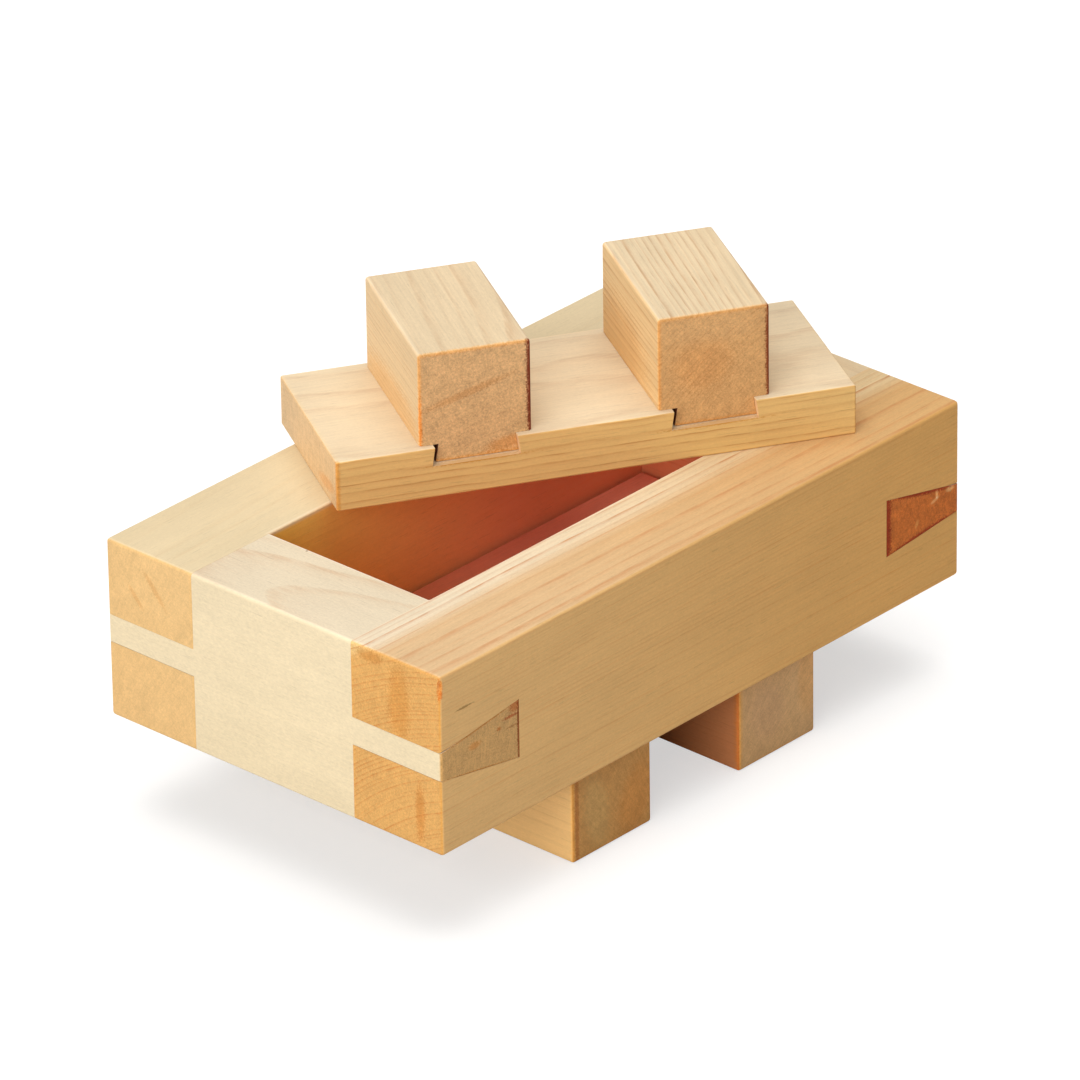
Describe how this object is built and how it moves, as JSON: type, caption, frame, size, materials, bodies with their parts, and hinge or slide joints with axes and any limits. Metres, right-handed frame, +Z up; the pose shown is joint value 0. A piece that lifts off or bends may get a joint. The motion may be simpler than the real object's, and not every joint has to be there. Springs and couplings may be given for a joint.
{
  "type": "butter mold",
  "caption": "Wooden box press mold: a dovetailed frame standing on a loose floor with two foot bars, and a press lid with two grip bars lying askew on top.",
  "frame": {"origin": "on the standing surface, under the middle of the whole object's box; the frame stands 5 mm forward of it because the lid overhangs the back", "axes": "+X along the frame to its right end, +Y to its rear side, +Z up"},
  "size_m": [0.2, 0.125, 0.117],
  "materials": {
    "side_board_wood": "bare planed softwood, straight grain along the board",
    "end_board_wood": "bare planed softwood, pale, grain across the frame",
    "plate_wood": "bare planed softwood, fine straight grain along the plate",
    "bar_wood": "bare planed softwood, grain along the bar, sawn end grain"
  },
  "bodies": {
    "base": {"floor_plate": "plate_wood", "left_foot_bar": "bar_wood", "right_foot_bar": "bar_wood"},
    "frame": {"front_side_board": "side_board_wood", "rear_side_board": "side_board_wood", "left_end_board": "end_board_wood", "right_end_board": "end_board_wood"},
    "lid": {"press_plate": "plate_wood", "left_grip_bar": "bar_wood", "right_grip_bar": "bar_wood"}
  },
  "joints": [
    {"name": "frame_lift", "type": "slide", "parent": "base", "child": "frame", "axis": [0, 0, 1], "range_m": [0, 0.06]},
    {"name": "lid_lift", "type": "slide", "parent": "frame", "child": "lid", "axis": [0, 0, 1], "range_m": [0, 0.06]}
  ]
}
